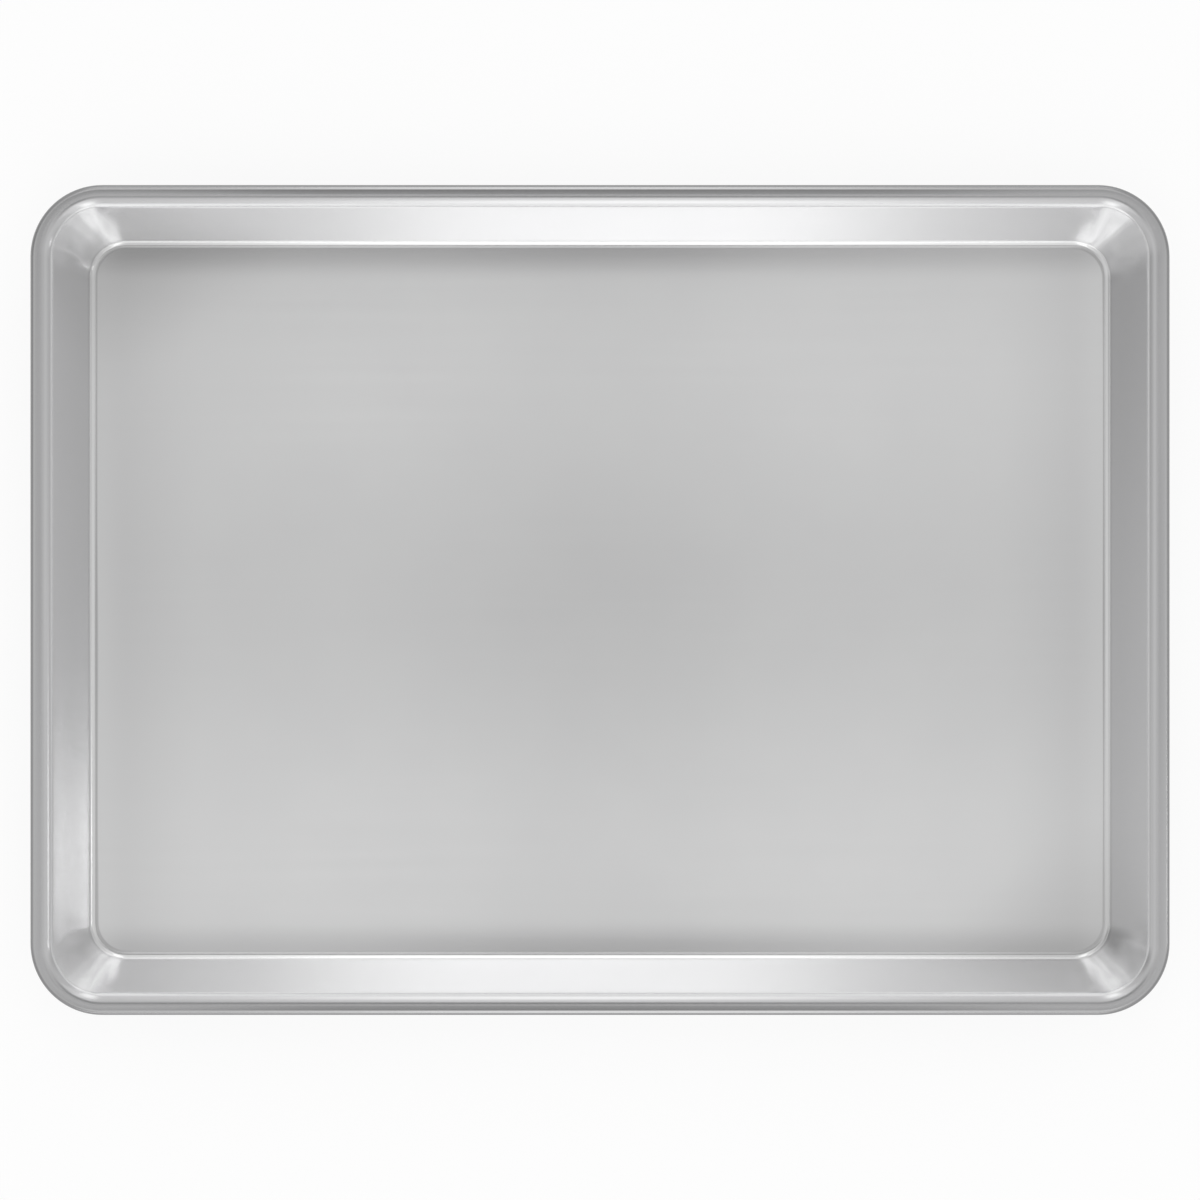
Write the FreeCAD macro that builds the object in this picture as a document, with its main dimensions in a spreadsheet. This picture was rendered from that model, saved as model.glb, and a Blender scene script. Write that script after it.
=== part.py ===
import FreeCAD
import Part
import Sketcher
import math
import os

# A cookie sheet: one blank of aluminium drawn into a shallow pan, its edge curled round a steel wire.
# Millimetres and degrees. +X runs along the pan, +Z is up, the origin is the middle of the underside.

# Driving sizes
SIZES = {
    # The whole pan, over the outside of its rim
    "pan_length": 457.0,
    "pan_width": 333.0,
    "pan_depth": 25.4,
    # The drawn sheet: draft is the walls' lean from the vertical, the bend is measured on its inside,
    # and the floor's corners are measured in plan where the walls meet the floor
    "sheet_thickness": 1.0,
    "wall_draft_angle": 27.0,
    "floor_bend_radius": 3.0,
    "floor_corner_radius": 14.4,
    # The rolled rim: its outside corners in plan, the flat along its crest, and the upper side of the
    # lip that leads from the flat down to the wall
    "rim_corner_radius": 28.8,
    "rim_flat": 1.2,
    "lip_radius": 6.2,
    # The wire inside the curl, whose two ends stop just short of each other
    "wire_diameter": 2.6,
    "wire_clearance": 0.1,
    "wire_end_gap": 1.5,
}

# Sizes that follow from them. The rim's section is a bead round the wire, the flat and the lip. The
# lip's line is where the lip leaves the flat, and insets are measured in plan from it to the faces of
# the wall.
DERIVED = {
    "bead_radius": "Sizes.wire_diameter / 2 + Sizes.wire_clearance + Sizes.sheet_thickness",
    "wire_half_length": "Sizes.pan_length / 2 - Derived.bead_radius",
    "wire_half_width": "Sizes.pan_width / 2 - Derived.bead_radius",
    "wire_corner_radius": "Sizes.rim_corner_radius - Derived.bead_radius",
    "wire_height": "Sizes.pan_depth - Derived.bead_radius",
    "lip_half_length": "Derived.wire_half_length - Sizes.rim_flat",
    "lip_half_width": "Derived.wire_half_width - Sizes.rim_flat",
    "lip_corner_radius": "Derived.wire_corner_radius - Sizes.rim_flat",
    "lip_inside_radius": "Sizes.lip_radius - Sizes.sheet_thickness",
    "wall_top": "Sizes.pan_depth - Sizes.lip_radius"
                " + Derived.lip_inside_radius * sin(Sizes.wall_draft_angle)",
    "top_outer_inset": "Derived.lip_inside_radius * cos(Sizes.wall_draft_angle)",
    "top_inner_inset": "Derived.top_outer_inset + Sizes.sheet_thickness / cos(Sizes.wall_draft_angle)",
    "floor_outer_inset": "Derived.top_outer_inset + Derived.wall_top * tan(Sizes.wall_draft_angle)",
    "floor_inner_inset": "Derived.top_inner_inset"
                         " + (Derived.wall_top - Sizes.sheet_thickness) * tan(Sizes.wall_draft_angle)",
    "floor_outer_corner": "Sizes.floor_corner_radius"
                          " + Derived.floor_inner_inset - Derived.floor_outer_inset",
}

# An edge lies at a height when its ends do, to within this share of the sheet's thickness
FLATNESS_SHARE = 0.01

# Points of a sketch element, as the sketcher numbers them
START = 1
END = 2
CENTRE = 3
ORIGIN = (-1, 1)

doc = FreeCAD.newDocument("cookie_sheet")

sheet = doc.addObject("Spreadsheet::Sheet", "Sizes")
for row, (alias, number) in enumerate(SIZES.items(), start=1):
    sheet.set(f"A{row}", alias)
    sheet.set(f"B{row}", str(number))
    sheet.setAlias(f"B{row}", alias)
doc.recompute()

derived = doc.addObject("App::VarSet", "Derived")
for name, expression in DERIVED.items():
    derived.addProperty("App::PropertyFloat", name)
    derived.setExpression(name, expression)
doc.recompute()


def value(expression):
    """The number that an expression over the sheet gives now."""
    return float(sheet.evalExpression(expression))


def add_body(name):
    """An empty body whose label names the piece."""
    body = doc.addObject("PartDesign::Body", name)
    body.Label = name
    body.Placement = FreeCAD.Placement()
    return body


def add_sketch(body, name, role, height=None):
    """A sketch on one of the body's own origin planes, raised from it to a height."""
    sketch = body.newObject("Sketcher::SketchObject", name)
    plane = next(feature for feature in body.Origin.OriginFeatures if feature.Role == role)
    sketch.AttachmentSupport = [(plane, "")]
    sketch.MapMode = "FlatFace"
    if height:
        sketch.setExpression("AttachmentOffset.Base.z", height)
    return sketch


def add_line(sketch, start, end):
    """A straight line between two points of the sketch."""
    return sketch.addGeometry(Part.LineSegment(start, end))


def add_arc(sketch, centre, radius, first, last):
    """An arc about a centre, counterclockwise from one angle to another, in degrees."""
    circle = Part.Circle(centre, FreeCAD.Vector(0, 0, 1), radius)
    return sketch.addGeometry(Part.ArcOfCircle(circle, math.radians(first), math.radians(last)))


def tie(sketch, kind, *elements):
    """A geometric constraint between elements of the sketch."""
    sketch.addConstraint(Sketcher.Constraint(kind, *elements))


def bind(sketch, name, expression, kind, *elements, number=None):
    """A dimension of the sketch that follows an expression."""
    start = value(expression) if number is None else number
    index = sketch.addConstraint(Sketcher.Constraint(kind, *elements, start))
    sketch.renameConstraint(index, name)
    sketch.setExpression(f"Constraints.{name}", expression)


def add_rounded_rectangle(sketch, half_length, half_width, radius, end_gap=None):
    """Four corner arcs joined by sides, about the sketch's origin.

    The arcs run counterclockwise from the one at +X and +Y, and side number n follows arc number n.
    With an end gap the back side is two lines that stop short of each other in its middle.
    """
    x, y, r = value(half_length), value(half_width), value(radius)
    signs = [(1, 1), (-1, 1), (-1, -1), (1, -1)]
    arcs = []
    for number, (across, along) in enumerate(signs):
        centre = FreeCAD.Vector(across * (x - r), along * (y - r), 0)
        arcs.append(add_arc(sketch, centre, r, 90 * number, 90 * (number + 1)))
    for number, arc in enumerate(arcs):
        following = arcs[(number + 1) % len(arcs)]
        direction = "Vertical" if number % 2 else "Horizontal"
        start = sketch.getPoint(arc, END)
        end = sketch.getPoint(following, START)
        if end_gap and number == 0:
            half_gap = FreeCAD.Vector(value(end_gap) / 2, 0, 0)
            middle = (start + end) / 2
            first = add_line(sketch, start, middle + half_gap)
            last = add_line(sketch, middle - half_gap, end)
            tie(sketch, "Horizontal", last)
            tie(sketch, "Horizontal", first, END, last, START)
            bind(sketch, "end_right", f"{end_gap} / 2", "DistanceX", *ORIGIN, first, END)
            bind(sketch, "end_left", f"{end_gap} / 2", "DistanceX", last, START, *ORIGIN)
        else:
            first = add_line(sketch, start, end)
            last = first
        tie(sketch, direction, first)
        tie(sketch, "Tangent", arc, END, first, START)
        tie(sketch, "Tangent", last, END, following, START)
        if number:
            tie(sketch, "Equal", arcs[0], arc)
    bind(sketch, "corner", radius, "Radius", arcs[0])
    bind(sketch, "right", half_length, "DistanceX", *ORIGIN, arcs[0], START)
    bind(sketch, "back", half_width, "DistanceY", *ORIGIN, arcs[0], END)
    bind(sketch, "left", half_length, "DistanceX", arcs[2], START, *ORIGIN)
    bind(sketch, "front", half_width, "DistanceY", arcs[2], END, *ORIGIN)


def add_outline(body, name, height, inset, radius):
    """The outline of one face of the wall, at one height."""
    sketch = add_sketch(body, name, "XY_Plane", height)
    half_length = f"Derived.lip_half_length - {inset}"
    half_width = f"Derived.lip_half_width - {inset}"
    add_rounded_rectangle(sketch, half_length, half_width, radius)
    return sketch


def add_wire_path(body, end_gap=None):
    """The centre line of the wire, which the rim follows too."""
    path = add_sketch(body, f"{body.Name}_path", "XY_Plane", "Derived.wire_height")
    sizes = ["Derived.wire_half_length", "Derived.wire_half_width", "Derived.wire_corner_radius"]
    add_rounded_rectangle(path, *sizes, end_gap)
    return path


def add_rim_section(body):
    """The rolled rim's section at the middle of the back side, from the wall's top to the curl's edge."""
    sketch = add_sketch(body, "rim_section", "YZ_Plane")
    draft = value("Sizes.wall_draft_angle")
    lip_line = value("Derived.lip_half_width")
    bead_centre = FreeCAD.Vector(value("Derived.wire_half_width"), value("Derived.wire_height"), 0)
    lip_centre = FreeCAD.Vector(lip_line, value("Sizes.pan_depth - Sizes.lip_radius"), 0)
    bead_radius = value("Derived.bead_radius")
    lip_radius = value("Sizes.lip_radius")
    thickness = value("Sizes.sheet_thickness")
    wall_foot = FreeCAD.Vector(lip_line - value("Derived.top_inner_inset"), value("Derived.wall_top"), 0)

    lip_outside = add_arc(sketch, lip_centre, lip_radius, 90, 180 - draft)
    lip_inside = add_arc(sketch, lip_centre, lip_radius - thickness, 90, 180 - draft)
    curl_outside = add_arc(sketch, bead_centre, bead_radius, -180, 90)
    curl_inside = add_arc(sketch, bead_centre, bead_radius - thickness, -180, 90)
    flat_outside = add_line(
        sketch, sketch.getPoint(curl_outside, END), sketch.getPoint(lip_outside, START))
    flat_inside = add_line(sketch, sketch.getPoint(curl_inside, END), sketch.getPoint(lip_inside, START))
    wall = add_line(sketch, wall_foot, sketch.getPoint(lip_outside, END))
    seam = add_line(sketch, sketch.getPoint(lip_inside, END), wall_foot)
    edge = add_line(sketch, sketch.getPoint(curl_inside, START), sketch.getPoint(curl_outside, START))
    across_lip = add_line(sketch, sketch.getPoint(lip_inside, END), sketch.getPoint(lip_outside, END))
    sketch.setConstruction(across_lip, True)

    tie(sketch, "Tangent", curl_outside, END, flat_outside, START)
    tie(sketch, "Tangent", flat_outside, END, lip_outside, START)
    tie(sketch, "Tangent", curl_inside, END, flat_inside, START)
    tie(sketch, "Tangent", flat_inside, END, lip_inside, START)
    tie(sketch, "Tangent", lip_outside, END, wall, END)
    tie(sketch, "Coincident", curl_inside, CENTRE, curl_outside, CENTRE)
    tie(sketch, "Coincident", lip_inside, CENTRE, lip_outside, CENTRE)
    tie(sketch, "Coincident", wall, START, seam, END)
    tie(sketch, "Coincident", seam, START, lip_inside, END)
    tie(sketch, "Coincident", edge, START, curl_inside, START)
    tie(sketch, "Coincident", edge, END, curl_outside, START)
    tie(sketch, "Coincident", across_lip, START, lip_inside, END)
    tie(sketch, "Coincident", across_lip, END, lip_outside, END)
    tie(sketch, "Perpendicular", across_lip, wall)
    tie(sketch, "Horizontal", seam)
    tie(sketch, "Horizontal", edge)
    tie(sketch, "Horizontal", edge, START, curl_outside, CENTRE)
    tie(sketch, "Horizontal", flat_outside)
    tie(sketch, "Horizontal", flat_inside)
    bind(sketch, "bead", "Derived.bead_radius", "Radius", curl_outside)
    bind(sketch, "flat", "Sizes.rim_flat", "DistanceX", lip_outside, START, curl_outside, END)
    bind(sketch, "lip", "Sizes.lip_radius", "Radius", lip_outside)
    bind(sketch, "thickness", "Sizes.sheet_thickness", "Distance", edge)
    bind(sketch, "crest", "Sizes.pan_depth", "DistanceY", *ORIGIN, curl_outside, END)
    bind(sketch, "middle", "Derived.wire_half_width", "DistanceX", *ORIGIN, curl_outside, CENTRE)
    bind(sketch, "lean", "90 - Sizes.wall_draft_angle", "Angle", wall, number=math.radians(90 - draft))
    return sketch


def add_loft(body, kind, name, lower, upper):
    """A ruled loft between two outlines, added to the body or taken from it."""
    loft = body.newObject(f"PartDesign::{kind}", name)
    loft.Profile = lower
    loft.Sections = [upper]
    loft.Ruled = True
    doc.recompute()
    return loft


def add_bend(body, name, height, radius):
    """A fillet round all the edges of the body that lie at one height."""
    base = body.Tip
    tolerance = value("Sizes.sheet_thickness") * FLATNESS_SHARE
    level = value(height)
    edges = []
    for number, edge in enumerate(base.Shape.Edges, start=1):
        if all(abs(vertex.Z - level) < tolerance for vertex in edge.Vertexes):
            edges.append(f"Edge{number}")
    bend = body.newObject("PartDesign::Fillet", name)
    bend.Base = (base, edges)
    bend.setExpression("Radius", radius)
    doc.recompute()
    return bend


def add_sweep(body, name, section, path):
    """A section swept along the whole of a path."""
    sweep = body.newObject("PartDesign::AdditivePipe", name)
    sweep.Profile = section
    sweep.Spine = (path, [f"Edge{number + 1}" for number in range(len(path.Shape.Edges))])
    doc.recompute()
    return sweep


def make_pan_shell():
    """Floor, walls and rolled rim, which are one sheet."""
    shell = add_body("pan_shell")
    floor_outside = add_outline(
        shell, "floor_outside", None, "Derived.floor_outer_inset", "Derived.floor_outer_corner")
    top_outside = add_outline(
        shell, "top_outside", "Derived.wall_top", "Derived.top_outer_inset",
        "Derived.lip_corner_radius - Derived.top_outer_inset")
    floor_inside = add_outline(
        shell, "floor_inside", "Sizes.sheet_thickness", "Derived.floor_inner_inset",
        "Sizes.floor_corner_radius")
    top_inside = add_outline(
        shell, "top_inside", "Derived.wall_top", "Derived.top_inner_inset",
        "Derived.lip_corner_radius - Derived.top_inner_inset")
    rim_section = add_rim_section(shell)
    rim_path = add_wire_path(shell)
    doc.recompute()

    add_loft(shell, "AdditiveLoft", "tub", floor_outside, top_outside)
    add_loft(shell, "SubtractiveLoft", "well", floor_inside, top_inside)
    add_bend(shell, "bend_inside", "Sizes.sheet_thickness", "Sizes.floor_bend_radius")
    add_bend(shell, "bend_outside", "0", "Sizes.floor_bend_radius + Sizes.sheet_thickness")
    add_sweep(shell, "rolled_rim", rim_section, rim_path)
    return shell


def make_rim_wire():
    """The wire inside the curl, bent to the rim's shape with its ends meeting behind the pan."""
    wire = add_body("rim_wire")
    path = add_wire_path(wire, "Sizes.wire_end_gap")
    section = add_sketch(wire, "wire_section", "XZ_Plane")
    centre = FreeCAD.Vector(value("Derived.wire_half_length"), value("Derived.wire_height"), 0)
    circle = Part.Circle(centre, FreeCAD.Vector(0, 0, 1), value("Sizes.wire_diameter / 2"))
    ring = section.addGeometry(circle)
    bind(section, "wire", "Sizes.wire_diameter", "Diameter", ring)
    bind(section, "side", "Derived.wire_half_length", "DistanceX", *ORIGIN, ring, CENTRE)
    bind(section, "level", "Derived.wire_height", "DistanceY", *ORIGIN, ring, CENTRE)
    doc.recompute()
    add_sweep(wire, "bent_wire", section, path)
    return wire


def check(pieces):
    """Stops if any object failed or any piece isn't one sound solid."""
    for item in doc.Objects:
        if "Invalid" in item.State or "Error" in item.State:
            raise RuntimeError(f"{item.Name} failed: {item.State}")
    for piece in pieces:
        shape = piece.Shape
        if shape.isNull() or not shape.isValid() or len(shape.Solids) != 1:
            raise RuntimeError(f"{piece.Label} isn't one valid solid")


pieces = [make_pan_shell(), make_rim_wire()]
doc.recompute()
check(pieces)
os.makedirs("parts", exist_ok=True)
for piece in pieces:
    piece.Shape.exportStep(f"parts/{piece.Label}.step")
    print(piece.Label, round(piece.Shape.Volume, 1), piece.Shape.optimalBoundingBox())
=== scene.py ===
import math

import bpy
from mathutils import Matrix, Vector, noise


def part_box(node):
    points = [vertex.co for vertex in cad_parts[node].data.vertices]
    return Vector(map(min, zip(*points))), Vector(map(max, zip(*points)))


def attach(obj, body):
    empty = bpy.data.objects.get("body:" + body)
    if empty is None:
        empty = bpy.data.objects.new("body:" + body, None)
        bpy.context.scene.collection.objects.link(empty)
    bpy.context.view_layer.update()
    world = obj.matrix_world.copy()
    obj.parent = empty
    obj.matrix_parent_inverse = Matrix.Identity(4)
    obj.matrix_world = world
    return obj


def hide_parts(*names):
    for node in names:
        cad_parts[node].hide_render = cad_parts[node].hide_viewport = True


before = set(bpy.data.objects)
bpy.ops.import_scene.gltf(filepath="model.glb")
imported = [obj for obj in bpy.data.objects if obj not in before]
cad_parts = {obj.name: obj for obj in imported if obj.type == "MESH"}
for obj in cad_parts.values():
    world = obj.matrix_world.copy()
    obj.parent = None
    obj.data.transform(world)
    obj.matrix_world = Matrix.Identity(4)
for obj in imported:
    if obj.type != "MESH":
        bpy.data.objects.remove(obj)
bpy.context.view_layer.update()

# Driving dimensions of the pan, in metres
SHEET_THICKNESS = 0.001
WALL_DRAFT = math.radians(27.0)
FLOOR_BEND_RADIUS = 0.003
FLOOR_CORNER_RADIUS = 0.0144
RIM_CORNER_RADIUS = 0.0288
RIM_FLAT = 0.0012
LIP_RADIUS = 0.0062
WIRE_DIAMETER = 0.0026
WIRE_CLEARANCE = 0.0001
WIRE_END_GAP = 0.0015
WIRE_END_CHAMFER = 0.0004

# Overall sizes, read from the frame
PAN_TOP_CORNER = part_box("pan_shell")[1]
PAN_HALF_LENGTH = PAN_TOP_CORNER[0]
PAN_HALF_WIDTH = PAN_TOP_CORNER[1]
PAN_DEPTH = PAN_TOP_CORNER[2]

# The rim's section is a bead curled round the wire, a narrow flat and a wider lip down to the wall
WIRE_RADIUS = WIRE_DIAMETER / 2
BEAD_RADIUS = WIRE_RADIUS + WIRE_CLEARANCE + SHEET_THICKNESS
WIRE_HEIGHT = PAN_DEPTH - BEAD_RADIUS

# Every section stands on the lip's line, where the lip leaves the flat
PATH_HALF_LENGTH = PAN_HALF_LENGTH - BEAD_RADIUS - RIM_FLAT
PATH_HALF_WIDTH = PAN_HALF_WIDTH - BEAD_RADIUS - RIM_FLAT
PATH_CORNER_RADIUS = RIM_CORNER_RADIUS - BEAD_RADIUS - RIM_FLAT

# The drawn floor is not quite flat: it is crowned inside the bend, and rolled sheet ripples a little
FLOOR_CROWN = 0.0003
FLOOR_CROWN_WIDTH = 0.013
FLOOR_SLOPE = math.atan(2 * FLOOR_CROWN / FLOOR_CROWN_WIDTH)
BEND_HEIGHT = SHEET_THICKNESS + FLOOR_BEND_RADIUS
RIPPLE_HEIGHT = 0.00003
RIPPLE_LENGTH = 0.09

# Mesh density
LONG_SIDE_STEPS = 72
SHORT_SIDE_STEPS = 56
HALF_CORNER_STEPS = 12
END_CROWDING = 0.85
BEND_STEPS = 8
WALL_STEPS = 8
LIP_STEPS = 16
BEAD_STEPS = 32
WIRE_STEPS = 20
SHARP_ANGLE = math.radians(40.0)

QUARTER_TURN = math.pi / 2
SIDE_COUNT = 4


# Section of the bent sheet
def wall_inset(draft, height):
    """How far inside the path the inner face of a wall of this draft lies at this height."""
    return LIP_RADIUS / math.cos(draft) + (PAN_DEPTH - LIP_RADIUS - height) * math.tan(draft)


def wall_draft(inset):
    """The draft of the wall whose inner face meets the floor this far inside the path."""
    rise = PAN_DEPTH - LIP_RADIUS - SHEET_THICKNESS
    return math.acos(LIP_RADIUS / math.hypot(inset, rise)) - math.atan2(rise, inset)


def bend_inset(draft):
    """How far inside the path the centre of the floor's bend lies under a wall of this draft."""
    return wall_inset(draft, BEND_HEIGHT) + FLOOR_BEND_RADIUS / math.cos(draft)


def arc(centre, radius, first, last, steps):
    """Points on an arc in the section plane, with both ends."""
    angles = [first + (last - first) * step / steps for step in range(steps + 1)]
    return [(centre[0] + radius * math.cos(a), centre[1] + radius * math.sin(a)) for a in angles]


def between(start, end, steps):
    """Points on a straight stretch, without its ends."""
    shares = [step / steps for step in range(1, steps)]
    return [tuple(a + (b - a) * share for a, b in zip(start, end)) for share in shares]


def sheet_section(draft):
    """Outline of the sheet from the floor's upper side over the rim and back to its underside."""
    bead_centre = (RIM_FLAT, WIRE_HEIGHT)
    lip_centre = (0.0, PAN_DEPTH - LIP_RADIUS)
    bend_centre = (-bend_inset(draft), BEND_HEIGHT)
    floor_side = -FLOOR_SLOPE - QUARTER_TURN
    wall_side = math.pi - draft
    inside = arc(bend_centre, FLOOR_BEND_RADIUS, floor_side, -draft, BEND_STEPS)
    lip = arc(lip_centre, LIP_RADIUS, wall_side, QUARTER_TURN, LIP_STEPS)
    bead = arc(bead_centre, BEAD_RADIUS, QUARTER_TURN, -math.pi, BEAD_STEPS)
    curl = arc(bead_centre, BEAD_RADIUS - SHEET_THICKNESS, -math.pi, QUARTER_TURN, BEAD_STEPS)
    lip_under = arc(lip_centre, LIP_RADIUS - SHEET_THICKNESS, QUARTER_TURN, wall_side, LIP_STEPS)
    outside = arc(bend_centre, FLOOR_BEND_RADIUS + SHEET_THICKNESS, -draft, floor_side, BEND_STEPS)
    wall = between(inside[-1], lip[0], WALL_STEPS)
    wall_under = between(lip_under[-1], outside[0], WALL_STEPS)
    return inside + wall + lip + bead + curl + lip_under + wall_under + outside


# Stations round the path
FLOOR_INSET = wall_inset(WALL_DRAFT, SHEET_THICKNESS)
CORNER_SHIFT = FLOOR_INSET + FLOOR_CORNER_RADIUS - PATH_CORNER_RADIUS


def straight_inset(overrun):
    """Inset of the floor's outline beside a straight run, this far past the end of the floor's run."""
    past = max(overrun, 0.0)
    return FLOOR_INSET + FLOOR_CORNER_RADIUS - math.sqrt(FLOOR_CORNER_RADIUS**2 - past**2)


def corner_inset(angle):
    """Inset of the floor's outline along the path's normal at this angle of a corner."""
    lean = CORNER_SHIFT * (math.cos(angle) + math.sin(angle))
    reach = math.sqrt(lean**2 - 2 * CORNER_SHIFT**2 + FLOOR_CORNER_RADIUS**2) - lean
    return PATH_CORNER_RADIUS - reach


def crowded(share):
    """A share of a run, moved so that stations crowd towards the run's two ends."""
    return share - END_CROWDING * math.sin(2 * math.pi * share) / (2 * math.pi)


def side_stations(half_run, distance, steps):
    """Stations of one side in its own axes, from the middle of one corner to that of the next."""
    stations = []
    corner_start = half_run - PATH_CORNER_RADIUS
    corner_distance = distance - PATH_CORNER_RADIUS
    eighth_turn = QUARTER_TURN / 2
    for step in range(HALF_CORNER_STEPS):
        angle = eighth_turn * (1 + step / HALF_CORNER_STEPS)
        normal = (math.cos(angle), math.sin(angle))
        point = (
            corner_start + PATH_CORNER_RADIUS * normal[0],
            corner_distance + PATH_CORNER_RADIUS * normal[1],
        )
        stations.append((point, normal, corner_inset(angle)))
    for step in range(steps + 1):
        along = corner_start * (1 - 2 * crowded(step / steps))
        inset = straight_inset(abs(along) - corner_start + CORNER_SHIFT)
        stations.append(((along, distance), (0.0, 1.0), inset))
    for step in range(1, HALF_CORNER_STEPS):
        angle = QUARTER_TURN + eighth_turn * step / HALF_CORNER_STEPS
        normal = (math.cos(angle), math.sin(angle))
        point = (
            PATH_CORNER_RADIUS * normal[0] - corner_start,
            corner_distance + PATH_CORNER_RADIUS * normal[1],
        )
        stations.append((point, normal, corner_inset(math.pi - angle)))
    return stations


def turned(vector, quarter_turns):
    """A plan vector turned about Z by whole quarter turns."""
    x, y = vector
    for _ in range(quarter_turns):
        x, y = -y, x
    return (x, y)


def path_stations():
    """Stations right round the path, side by side: the back, the left, the front and the right."""
    stations = []
    for side in range(SIDE_COUNT):
        if side % 2 == 0:
            local = side_stations(PATH_HALF_LENGTH, PATH_HALF_WIDTH, LONG_SIDE_STEPS)
        else:
            local = side_stations(PATH_HALF_WIDTH, PATH_HALF_LENGTH, SHORT_SIDE_STEPS)
        for point, normal, inset in local:
            stations.append((turned(point, side), turned(normal, side), inset))
    return stations


# Meshes
def floor_rise(x, y):
    """How far the crown lifts the floor at a point of the plan."""
    inset = bend_inset(wall_draft(FLOOR_INSET))
    corner_radius = FLOOR_CORNER_RADIUS - inset + FLOOR_INSET
    past_x = abs(x) - PATH_HALF_LENGTH + inset + corner_radius
    past_y = abs(y) - PATH_HALF_WIDTH + inset + corner_radius
    outside = math.hypot(max(past_x, 0.0), max(past_y, 0.0))
    inside = min(max(past_x, past_y), 0.0)
    from_bend = max(corner_radius - outside - inside, 0.0)
    return FLOOR_CROWN * (1 - max(1 - from_bend / FLOOR_CROWN_WIDTH, 0.0) ** 2)


def rippled(x, y, z):
    """A point of the drawing, moved by the sheet's ripple, which dies out towards the rim."""
    wave = 1 + noise.noise(Vector((x, y, 0.0)) / RIPPLE_LENGTH)
    return (x, y, z + RIPPLE_HEIGHT * wave * (1 - z / PAN_DEPTH))


def new_object(name, vertices, faces):
    """A smooth-shaded mesh object in the scene."""
    mesh = bpy.data.meshes.new(name)
    mesh.from_pydata(vertices, [], faces)
    mesh.validate()
    mesh.shade_smooth()
    mesh.set_sharp_from_angle(angle=SHARP_ANGLE)
    made = bpy.data.objects.new(name, mesh)
    bpy.context.scene.collection.objects.link(made)
    return made


def add_floor_grid(vertices, faces, edge, height, upward):
    """Fills the ring of vertex numbers in edge with a grid that blends its four sides."""
    columns = LONG_SIDE_STEPS + 2 * HALF_CORNER_STEPS
    rows = SHORT_SIDE_STEPS + 2 * HALF_CORNER_STEPS
    count = len(edge)
    back = [edge[i] for i in range(columns + 1)]
    left = [edge[columns + j] for j in range(rows + 1)]
    front = [edge[2 * columns + rows - i] for i in range(columns + 1)]
    right = [edge[(count - j) % count] for j in range(rows + 1)]
    place = {number: Vector(vertices[number][:2]) for number in edge}
    grid = [[None] * (columns + 1) for _ in range(rows + 1)]
    grid[0] = back
    grid[rows] = front
    for j in range(1, rows):
        v = j / rows
        grid[j][0] = right[j]
        grid[j][columns] = left[j]
        for i in range(1, columns):
            u = i / columns
            across = place[back[i]] * (1 - v) + place[front[i]] * v
            down = place[right[j]] * (1 - u) + place[left[j]] * u
            start = place[back[0]] * (1 - u) + place[back[columns]] * u
            end = place[front[0]] * (1 - u) + place[front[columns]] * u
            spot = across + down - start * (1 - v) - end * v
            grid[j][i] = len(vertices)
            vertices.append(rippled(spot.x, spot.y, height + floor_rise(spot.x, spot.y)))
    for j in range(rows):
        for i in range(columns):
            quad = (grid[j][i], grid[j][i + 1], grid[j + 1][i + 1], grid[j + 1][i])
            faces.append(quad if upward else quad[::-1])


def make_pan_sheet():
    """The drawn sheet: walls and rolled rim swept round the path, closed by the floor's two faces."""
    vertices = []
    faces = []
    stations = path_stations()
    sections = [sheet_section(wall_draft(inset)) for _, _, inset in stations]
    length = len(sections[0])
    for (point, normal, _), section in zip(stations, sections):
        for out, z in section:
            vertices.append(rippled(point[0] + out * normal[0], point[1] + out * normal[1], z))
    for number in range(len(stations)):
        here = number * length
        there = (number + 1) % len(stations) * length
        for step in range(length - 1):
            faces.append((here + step, here + step + 1, there + step + 1, there + step))
    upper_edge = [number * length for number in range(len(stations))]
    lower_edge = [number * length + length - 1 for number in range(len(stations))]
    add_floor_grid(vertices, faces, upper_edge, SHEET_THICKNESS, True)
    add_floor_grid(vertices, faces, lower_edge, 0.0, False)
    return new_object("pan_sheet", vertices, faces)


def make_stiffening_wire():
    """The round wire inside the curl, one length whose chamfered ends meet behind the pan."""
    half_gap = WIRE_END_GAP / 2
    shoulder = half_gap + WIRE_END_CHAMFER
    small_radius = WIRE_RADIUS - WIRE_END_CHAMFER
    back_middle = HALF_CORNER_STEPS + LONG_SIDE_STEPS // 2
    stations = path_stations()
    walk = stations[back_middle + 1:] + stations[:back_middle]
    outward = (0.0, 1.0)
    rings = [((-half_gap, PATH_HALF_WIDTH), outward, small_radius)]
    rings.append(((-shoulder, PATH_HALF_WIDTH), outward, WIRE_RADIUS))
    rings += [(point, normal, WIRE_RADIUS) for point, normal, _ in walk]
    rings.append(((shoulder, PATH_HALF_WIDTH), outward, WIRE_RADIUS))
    rings.append(((half_gap, PATH_HALF_WIDTH), outward, small_radius))
    vertices = []
    faces = []
    for point, normal, radius in rings:
        for out, z in arc((RIM_FLAT, WIRE_HEIGHT), radius, 0.0, 2 * math.pi, WIRE_STEPS)[:-1]:
            vertices.append((point[0] + out * normal[0], point[1] + out * normal[1], z))
    for number in range(len(rings) - 1):
        here = number * WIRE_STEPS
        there = here + WIRE_STEPS
        for step in range(WIRE_STEPS):
            following = (step + 1) % WIRE_STEPS
            faces.append((here + step, here + following, there + following, there + step))
    faces.append(tuple(range(WIRE_STEPS))[::-1])
    faces.append(tuple(range(len(vertices) - WIRE_STEPS, len(vertices))))
    return new_object("stiffening_wire", vertices, faces)


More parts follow.
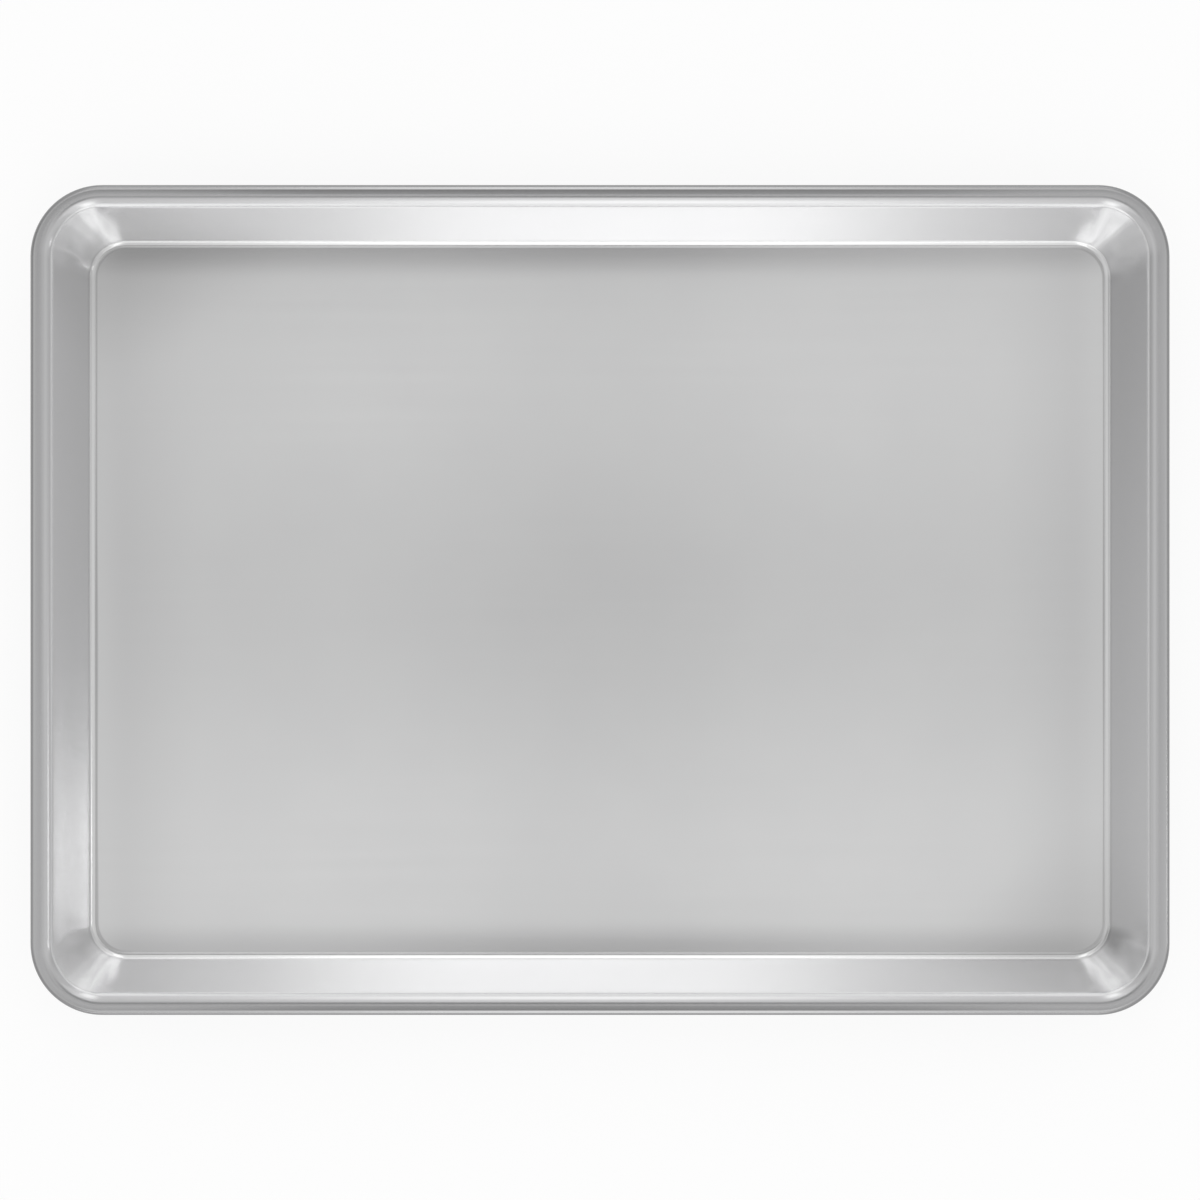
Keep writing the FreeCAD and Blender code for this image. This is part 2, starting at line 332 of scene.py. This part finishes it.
# Materials
# The mix node has several sockets of the same name, so those for colours are found by number
MIX_FACTOR = 0
MIX_FIRST_COLOUR = 6
MIX_SECOND_COLOUR = 7
MIX_COLOUR_RESULT = 2


class NodeBuilder:
    """Adds nodes to a node tree and links them in one call each."""

    def __init__(self, tree):
        self.tree = tree
        self.tree.nodes.clear()

    def add(self, kind, settings=None, inputs=None):
        """A node with its settings; an input is a value, or an output socket to link."""
        node = self.tree.nodes.new(kind)
        for name, setting in (settings or {}).items():
            setattr(node, name, setting)
        for name, source in (inputs or {}).items():
            if isinstance(source, bpy.types.NodeSocket):
                self.tree.links.new(source, node.inputs[name])
            else:
                node.inputs[name].default_value = source
        return node

    def split(self, vector):
        """The X, Y and Z parts of a vector."""
        parts = self.add("ShaderNodeSeparateXYZ", inputs={0: vector}).outputs
        return parts["X"], parts["Y"], parts["Z"]

    def unsigned(self, vector):
        """A vector whose parts have lost their signs."""
        settings = {"operation": "ABSOLUTE"}
        return self.add("ShaderNodeVectorMath", settings, {0: vector}).outputs["Vector"]

    def spread(self, source, low, high):
        """The source's 0 to 1 mapped to low to high."""
        inputs = {"Value": source, "To Min": low, "To Max": high}
        return self.add("ShaderNodeMapRange", inputs=inputs).outputs["Result"]

    def fade(self, source, span):
        """A smooth step from 0, where the source is at the span's first value, to 1 at its second."""
        settings = {"interpolation_type": "SMOOTHSTEP"}
        inputs = {"Value": source, "From Min": span[0], "From Max": span[1]}
        return self.add("ShaderNodeMapRange", settings, inputs).outputs["Result"]

    def sum(self, first, *others):
        """Values added together."""
        total = first
        for other in others:
            total = self.add("ShaderNodeMath", inputs={0: total, 1: other}).outputs["Value"]
        return total

    def product(self, first, *others):
        """Values multiplied together."""
        settings = {"operation": "MULTIPLY"}
        total = first
        for other in others:
            total = self.add("ShaderNodeMath", settings, {0: total, 1: other}).outputs["Value"]
        return total

    def blend(self, share, first, second):
        """Colours from first, where share is 0, to second, where it is 1."""
        settings = {"data_type": "RGBA"}
        inputs = {MIX_FACTOR: share, MIX_FIRST_COLOUR: first, MIX_SECOND_COLOUR: second}
        return self.add("ShaderNodeMix", settings, inputs).outputs[MIX_COLOUR_RESULT]

    def texture(self, kind, scale, place, **inputs):
        """A texture read at place, the coordinates stretched by scale along each axis."""
        mapped = self.add("ShaderNodeMapping", inputs={"Vector": place, "Scale": scale})
        return self.add(kind, inputs={"Vector": mapped.outputs["Vector"], "Scale": 1.0, **inputs})


def grey(level, bluer=0.0):
    """A grey of this level, with this much more blue."""
    return (level, level, level + bluer, 1.0)


def inward(edge, insets):
    """The two places that lie this far inside an edge of the pan, or below its top."""
    return (edge - insets[0], edge - insets[1])


# Greys of the sheet
FLOOR_DARK = grey(0.665, 0.004)
FLOOR_PALE = grey(0.705)
# Painted shade: the floor darker towards its two ends, beside the end walls
FLOOR_ENDS_PAINTED_SHADE = grey(0.615, 0.002)
# Painted shade: the floor's back left and front right corners darker
FLOOR_CORNER_PAINTED_SHADE = grey(0.54)
# Painted shade: a dark line in the floor's bend near the ends
BEND_PAINTED_SHADE = grey(0.45)
WALLS = grey(0.72, 0.005)
LIP = grey(0.5, 0.004)
# Painted shade: the rim's crest and outer side a little darker than its lip
CREST_PAINTED_SHADE = grey(0.46, 0.004)
# Painted dark reflection: a dark line on the crest, in the middle of the long sides
CREST_PAINTED_DARK_REFLECTION = grey(0.34, 0.003)
# Painted dark reflection: the bead's outer side darker, where it faces out over the ground
BEAD_PAINTED_DARK_REFLECTION = grey(0.265, 0.003)
UNDERSIDE_DARK = grey(0.46, 0.003)
UNDERSIDE_PALE = grey(0.58)

# Each zone of the sheet fades in from the first of two values to the second. These are heights
BEND_SHADE_FOOT = (0.0009, 0.001)
BEND_SHADE_TOP = (0.00107, 0.00103)
WALL_FOOT = (0.0015, BEND_HEIGHT)
BEAD_REFLECTION_FOOT = inward(PAN_DEPTH, (0.0094, 0.0074))
RIM_FOOT = inward(PAN_DEPTH, (0.0028, 0.0016))

# These are distances from the pan's middle, aside towards its ends and along towards its long sides
BEND_SHADE_ASIDE = inward(PAN_HALF_LENGTH, (0.0385, 0.0235))
FLOOR_ENDS_SHADE_ASIDE = inward(PAN_HALF_LENGTH, (0.0685, 0.0215))
CORNER_ASIDE = inward(PAN_HALF_LENGTH, (0.0435, 0.0285))
CORNER_ALONG = inward(PAN_HALF_WIDTH, (0.0435, 0.0285))
CREST_REFLECTION_ASIDE = inward(PAN_HALF_LENGTH, (0.0385, 0.1285))
CREST_REFLECTION_ALONG = inward(PAN_HALF_WIDTH, (0.0125, 0.0085))

# This is X times Y as shares of the pan's halves, below 0 at the back left and the front right, where
# the floor's corners get painted shade
CORNER_SHADE_SLANT = (-0.434, -0.762)

# These say how far the surface faces away from the pan's middle, and the last how far it faces up
CREST_SHADE_OUTWARD = (-0.6, 0.05)
CREST_REFLECTION_INSIDE = (-0.12, -0.02)
CREST_REFLECTION_OUTSIDE = (0.2, 0.05)
BEAD_REFLECTION_OUTWARD = (0.1, 0.75)
UNDERSIDE_TILT = (0.05, -0.15)

# Textures of the sheet: repeats per metre along each axis, and detail
MOTTLE_SCALE = (22.0, 22.0, 22.0)
MOTTLE_DETAIL = 4.0
STREAK_SCALE = (6.0, 260.0, 6.0)
STREAK_DETAIL = 3.0
GRAIN_SCALE = (30.0, 2600.0, 30.0)
GRAIN_DETAIL = 2.0
WAVE_SCALE = (70.0, 70.0, 25.0)
WAVE_DETAIL = 1.0

# Gloss and relief of the sheet
SHEET_ROUGHNESS = 0.2
RIM_ROUGHNESS = 0.23
UNDERSIDE_ROUGHENING = 0.08
STREAK_ROUGHENING = 0.015
WAVE_HEIGHT = 0.0012
GRAIN_HEIGHT = 0.0001
GRAIN_STRENGTH = 0.005

# Zinc of the wire
ZINC_DARK = (0.46, 0.47, 0.49, 1.0)
ZINC_PALE = (0.62, 0.63, 0.65, 1.0)
SPANGLE_SCALE = (420.0, 420.0, 420.0)
BLOOM_SCALE = (900.0, 900.0, 900.0)
BLOOM_DETAIL = 3.0
BLOOM_HEIGHT = 0.0001
BLOOM_STRENGTH = 0.2
ZINC_SMOOTHEST = 0.32
ZINC_ROUGHEST = 0.52


def new_material(name):
    """An empty node material and its builder."""
    material = bpy.data.materials.new(name)
    material.use_nodes = True
    return material, NodeBuilder(material.node_tree)


def set_metal(nodes, colour, roughness, normal):
    """Makes metal of this colour, roughness and relief the material's surface."""
    inputs = {"Base Color": colour, "Metallic": 1.0, "Roughness": roughness, "Normal": normal}
    metal = nodes.add("ShaderNodeBsdfPrincipled", inputs=inputs)
    nodes.add("ShaderNodeOutputMaterial", inputs={"Surface": metal.outputs["BSDF"]})


def sheet_zones(nodes, place):
    """Masks of the sheet's zones, each 1 in its zone and 0 outside it."""
    facing = nodes.add("ShaderNodeNewGeometry").outputs["Normal"]
    plan_scale = (1 / PAN_HALF_LENGTH, 1 / PAN_HALF_WIDTH, 0.0)
    plan = nodes.add("ShaderNodeMapping", inputs={"Vector": place, "Scale": plan_scale})
    share_aside, share_along, _ = nodes.split(plan.outputs["Vector"])
    outward = nodes.add(
        "ShaderNodeVectorMath",
        settings={"operation": "DOT_PRODUCT"},
        inputs={0: facing, 1: plan.outputs["Vector"]},
    ).outputs["Value"]
    _, _, tilt = nodes.split(facing)
    _, _, height = nodes.split(place)
    aside, along, _ = nodes.split(nodes.unsigned(place))
    walls = nodes.fade(height, WALL_FOOT)
    return {
        "floor_ends_painted_shade": nodes.fade(aside, FLOOR_ENDS_SHADE_ASIDE),
        "corner_painted_shade": nodes.fade(nodes.product(share_aside, share_along), CORNER_SHADE_SLANT),
        "bend_painted_shade": nodes.product(
            nodes.fade(height, BEND_SHADE_FOOT),
            nodes.fade(height, BEND_SHADE_TOP),
            nodes.fade(aside, BEND_SHADE_ASIDE),
        ),
        "walls": walls,
        "corner_walls": nodes.product(
            nodes.fade(aside, CORNER_ASIDE),
            nodes.fade(along, CORNER_ALONG),
            walls,
            nodes.fade(height, RIM_FOOT[::-1]),
        ),
        "rim": nodes.fade(height, RIM_FOOT),
        "crest": nodes.fade(outward, CREST_SHADE_OUTWARD),
        "crest_line": nodes.product(
            nodes.fade(outward, CREST_REFLECTION_INSIDE),
            nodes.fade(outward, CREST_REFLECTION_OUTSIDE),
            nodes.fade(along, CREST_REFLECTION_ALONG),
            nodes.fade(aside, CREST_REFLECTION_ASIDE),
        ),
        "outer_bead_painted_reflection": nodes.product(
            nodes.fade(outward, BEAD_REFLECTION_OUTWARD),
            nodes.fade(height, BEAD_REFLECTION_FOOT),
        ),
        "underside": nodes.fade(tilt, UNDERSIDE_TILT),
    }


def sheet_tint(nodes, zones, mottle):
    """Colour of the sheet, each zone's laid over those before it."""
    # Painted shade on the rim's crest and outer side
    rim = nodes.blend(zones["crest"], LIP, CREST_PAINTED_SHADE)
    # Painted dark reflection along the crest of the long sides
    rim = nodes.blend(zones["crest_line"], rim, CREST_PAINTED_DARK_REFLECTION)
    underside = nodes.blend(mottle, UNDERSIDE_DARK, UNDERSIDE_PALE)
    tint = nodes.blend(mottle, FLOOR_DARK, FLOOR_PALE)
    # Painted shade: the floor darker towards its two ends
    tint = nodes.blend(zones["floor_ends_painted_shade"], tint, FLOOR_ENDS_PAINTED_SHADE)
    # Painted shade on the floor's back left and front right corners
    tint = nodes.blend(zones["corner_painted_shade"], tint, FLOOR_CORNER_PAINTED_SHADE)
    # Painted shade in the floor's bend near the ends
    tint = nodes.blend(zones["bend_painted_shade"], tint, BEND_PAINTED_SHADE)
    tint = nodes.blend(zones["walls"], tint, WALLS)
    tint = nodes.blend(zones["rim"], tint, rim)
    tint = nodes.blend(zones["underside"], tint, underside)
    # Painted dark reflection on the bead's outer side
    return nodes.blend(zones["outer_bead_painted_reflection"], tint, BEAD_PAINTED_DARK_REFLECTION)


def sheet_relief(nodes, zones, place):
    """Bump of the sheet: waves drawn into its corner walls, and the grain of the rolled metal."""
    waves = nodes.texture("ShaderNodeTexNoise", WAVE_SCALE, place, Detail=WAVE_DETAIL)
    grain = nodes.texture("ShaderNodeTexNoise", GRAIN_SCALE, place, Detail=GRAIN_DETAIL)
    drawn = nodes.add(
        "ShaderNodeBump",
        inputs={
            "Strength": zones["corner_walls"],
            "Distance": WAVE_HEIGHT,
            "Height": waves.outputs["Fac"],
        },
    )
    rolled = nodes.add(
        "ShaderNodeBump",
        inputs={
            "Strength": GRAIN_STRENGTH,
            "Distance": GRAIN_HEIGHT,
            "Height": grain.outputs["Fac"],
            "Normal": drawn.outputs["Normal"],
        },
    )
    return rolled.outputs["Normal"]


def aluminium_material():
    """Satin rolled aluminium, a little mottled and streaked, and duller on the rim and underneath, with
    painted shade and painted dark reflections in its colour.
    """
    material, nodes = new_material("satin_aluminium")
    place = nodes.add("ShaderNodeTexCoord").outputs["Object"]
    zones = sheet_zones(nodes, place)
    mottle = nodes.texture("ShaderNodeTexNoise", MOTTLE_SCALE, place, Detail=MOTTLE_DETAIL)
    streak = nodes.texture("ShaderNodeTexNoise", STREAK_SCALE, place, Detail=STREAK_DETAIL)
    roughness = nodes.sum(
        nodes.spread(zones["rim"], SHEET_ROUGHNESS, RIM_ROUGHNESS),
        nodes.spread(zones["underside"], 0.0, UNDERSIDE_ROUGHENING),
        nodes.spread(streak.outputs["Fac"], -STREAK_ROUGHENING, STREAK_ROUGHENING),
    )
    tint = sheet_tint(nodes, zones, mottle.outputs["Fac"])
    set_metal(nodes, tint, roughness, sheet_relief(nodes, zones, place))
    return material


def galvanised_material():
    """Zinc-coated steel wire with the spangle of its coating."""
    material, nodes = new_material("galvanised_steel")
    place = nodes.add("ShaderNodeTexCoord").outputs["Object"]
    spangle = nodes.texture("ShaderNodeTexVoronoi", SPANGLE_SCALE, place)
    bloom = nodes.texture("ShaderNodeTexNoise", BLOOM_SCALE, place, Detail=BLOOM_DETAIL)
    tint = nodes.blend(spangle.outputs["Color"], ZINC_DARK, ZINC_PALE)
    roughness = nodes.spread(bloom.outputs["Fac"], ZINC_SMOOTHEST, ZINC_ROUGHEST)
    relief = nodes.add(
        "ShaderNodeBump",
        inputs={
            "Strength": BLOOM_STRENGTH,
            "Distance": BLOOM_HEIGHT,
            "Height": bloom.outputs["Fac"],
        },
    )
    set_metal(nodes, tint, roughness, relief.outputs["Normal"])
    return material


# Studio
BACKDROP_RADIUS = 12.0
BACKDROP_HEIGHT = 2.1
BACKDROP_STEPS = 12
BACKDROP_TURN_STEPS = 96
STAGE_DROP = 0.0002
STAGE_GLOW = 0.86
STAGE_WHITE = grey(0.92)
CAMERA_HEIGHT = 0.97
SENSOR_WIDTH = 0.036
PAN_SHARE_OF_IMAGE = 0.949
MILLIMETRES_IN_METRE = 1000

# Lights aimed at the pan: azimuth, with 0 in front of it and 90 to its right, and elevation in degrees,
# then distance, width and height in metres, and radiance
LIGHTS = {
    "front_softbox": (1.0, 33.0, 4.0, 1.05, 1.85, 1.27),
    "back_softbox": (181.0, 33.0, 4.0, 1.05, 1.85, 1.24),
    "front_upper_softbox": (1.0, 57.0, 4.0, 1.05, 1.6, 0.6),
    "back_upper_softbox": (181.0, 57.0, 4.0, 1.05, 1.6, 0.55),
    "front_bank": (3.0, 44.0, 4.5, 3.8, 3.8, 0.45),
    "back_bank": (181.0, 44.0, 4.5, 3.8, 3.8, 0.45),
    "front_low_bank": (0.0, 15.0, 4.5, 7.6, 0.77, 0.4),
    "back_low_bank": (180.0, 15.0, 4.5, 7.6, 0.77, 0.35),
    "front_low_core": (-5.0, 11.0, 4.4, 4.0, 1.4, 0.78),
    "back_low_core": (178.0, 11.0, 4.4, 4.0, 1.4, 0.58),
    "right_softbox": (81.2, 30.0, 4.0, 0.14, 0.9, 5.2),
    "left_softbox": (-78.0, 26.0, 4.0, 0.9, 0.9, 0.14),
}

# Brightness of the room, and patches that are paler or darker: how much, and the edges where each one
# fades in. An edge is a part of the direction, its value outside the patch and its value inside. The
# parts are right, back and up, aside and along for right and back without their signs, and slant for
# right times back.
ROOM_LEVEL = 0.7
ROOM_PATCHES = {
    "band_over_pan": (-0.16, [("aside", 0.08, 0.0)]),
    "camera": (-0.11, [("aside", 0.1, 0.0), ("along", 0.09, 0.02)]),
    "back_left_corner": (
        -0.18, [("slant", -0.017, -0.03), ("up", 0.9, 0.95), ("back", 0.0, 0.06)]
    ),
    "left_back": (-0.2, [("right", -0.6, -0.95), ("back", -0.1, 0.2)]),
    "right_front": (
        -0.15, [("right", 0.6, 0.95), ("back", -0.12, -0.07), ("back", 0.02, -0.04)]
    ),
    "front_half": (0.075, [("back", -0.06, -0.14)]),
    "beside_middle": (-0.17, [("aside", 0.1, 0.17)]),
    "beside_floor": (0.23, [("aside", 0.21, 0.29)]),
    "sides": (0.19, [("aside", 0.3, 0.6)]),
    "far_sides": (-0.21, [("aside", 0.6, 1.0)]),
    "beyond_floor": (-0.072, [("along", 0.14, 0.2)]),
    "beyond_middle": (-0.288, [("along", 0.14, 0.2), ("aside", 0.14, 0.03)]),
    "strips": (0.4, [("along", 0.03, 0.085), ("along", 0.19, 0.14), ("aside", 0.4, 0.25)]),
    "beside_camera": (0.075, [("along", 0.1, 0.04), ("aside", 0.08, 0.16)]),
}


def stage_material():
    """White ground: it glows for the camera and in reflections, and keeps some of the shadow."""
    material, nodes = new_material("white_ground")
    rays = nodes.add("ShaderNodeLightPath").outputs
    seen = nodes.sum(rays["Is Camera Ray"], rays["Is Glossy Ray"])
    shown = nodes.add(
        "ShaderNodeMath",
        settings={"use_clamp": True},
        inputs={0: seen, 1: rays["Is Transmission Ray"]},
    )
    share = nodes.spread(shown.outputs["Value"], 0.0, STAGE_GLOW)
    matt = nodes.add("ShaderNodeBsdfDiffuse", inputs={"Color": STAGE_WHITE})
    glow = nodes.add("ShaderNodeEmission", inputs={"Strength": 1.0})
    both = nodes.add(
        "ShaderNodeMixShader",
        inputs={0: share, 1: matt.outputs["BSDF"], 2: glow.outputs["Emission"]},
    )
    nodes.add("ShaderNodeOutputMaterial", inputs={"Surface": both.outputs["Shader"]})
    return material


def make_stage():
    """The ground that the pan stands on, sweeping up into a low round backdrop."""
    sweep_centre = (BACKDROP_RADIUS - BACKDROP_HEIGHT, BACKDROP_HEIGHT - STAGE_DROP)
    profile = arc(sweep_centre, BACKDROP_HEIGHT, -QUARTER_TURN, 0.0, BACKDROP_STEPS)
    vertices = []
    faces = []
    for number in range(BACKDROP_TURN_STEPS):
        turn = 2 * math.pi * number / BACKDROP_TURN_STEPS
        here = number * len(profile)
        there = (number + 1) % BACKDROP_TURN_STEPS * len(profile)
        vertices += [(out * math.cos(turn), out * math.sin(turn), z) for out, z in profile]
        for step in range(BACKDROP_STEPS):
            faces.append((here + step, there + step, there + step + 1, here + step + 1))
    faces.append(tuple(range(0, len(vertices), len(profile))))
    ground = new_object("ground", vertices, faces)
    ground.data.materials.append(stage_material())


def add_light(name, azimuth, elevation, distance, width, height, radiance):
    """A rectangle of soft light aimed at the pan."""
    turn = math.radians(azimuth)
    rise = math.radians(elevation)
    away = Vector(
        (math.sin(turn) * math.cos(rise), -math.cos(turn) * math.cos(rise), math.sin(rise))
    )
    lamp = bpy.data.lights.new(name, "AREA")
    lamp.shape = "RECTANGLE"
    lamp.size = width
    lamp.size_y = height
    lamp.energy = radiance * math.pi * width * height
    box = bpy.data.objects.new(name, lamp)
    box.location = away * distance
    box.rotation_mode = "QUATERNION"
    box.rotation_quaternion = away.to_track_quat("Z", "Y")
    box.visible_camera = False
    bpy.context.scene.collection.objects.link(box)


def make_lights():
    """Softboxes and banks of light in front of the pan and behind it, and a softbox at each side."""
    for name, setting in LIGHTS.items():
        add_light(name, *setting)


def make_world():
    """Light of the room, which differs with direction as its patches say."""
    world = bpy.data.worlds.new("studio")
    world.use_nodes = True
    bpy.context.scene.world = world
    nodes = NodeBuilder(world.node_tree)
    direction = nodes.add("ShaderNodeTexCoord").outputs["Generated"]
    parts = dict(zip(("right", "back", "up"), nodes.split(direction)))
    parts.update(zip(("aside", "along"), nodes.split(nodes.unsigned(direction))))
    parts["slant"] = nodes.product(parts["right"], parts["back"])
    level = ROOM_LEVEL
    for amount, edges in ROOM_PATCHES.values():
        shares = [nodes.fade(parts[part], (outside, inside)) for part, outside, inside in edges]
        level = nodes.sum(level, nodes.product(amount, *shares))
    sky = nodes.add("ShaderNodeBackground", inputs={"Color": grey(1.0), "Strength": level})
    nodes.add("ShaderNodeOutputWorld", inputs={"Surface": sky.outputs["Background"]})


def make_camera():
    """Camera straight above the pan, with the photograph's framing."""
    lens = bpy.data.cameras.new("camera")
    lens.sensor_width = SENSOR_WIDTH * MILLIMETRES_IN_METRE
    frame_width = 2 * PAN_HALF_LENGTH / PAN_SHARE_OF_IMAGE
    lens.lens = lens.sensor_width * (CAMERA_HEIGHT - WIRE_HEIGHT) / frame_width
    camera = bpy.data.objects.new("camera", lens)
    camera.location = (0.0, 0.0, CAMERA_HEIGHT)
    bpy.context.scene.collection.objects.link(camera)
    bpy.context.scene.camera = camera


pan_sheet = make_pan_sheet()
pan_sheet.data.materials.append(aluminium_material())
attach(pan_sheet, "root")
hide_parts("pan_shell")

stiffening_wire = make_stiffening_wire()
stiffening_wire.data.materials.append(galvanised_material())
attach(stiffening_wire, "root")
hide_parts("rim_wire")

make_stage()
make_lights()
make_world()
make_camera()
bpy.context.scene.view_settings.view_transform = "Standard"
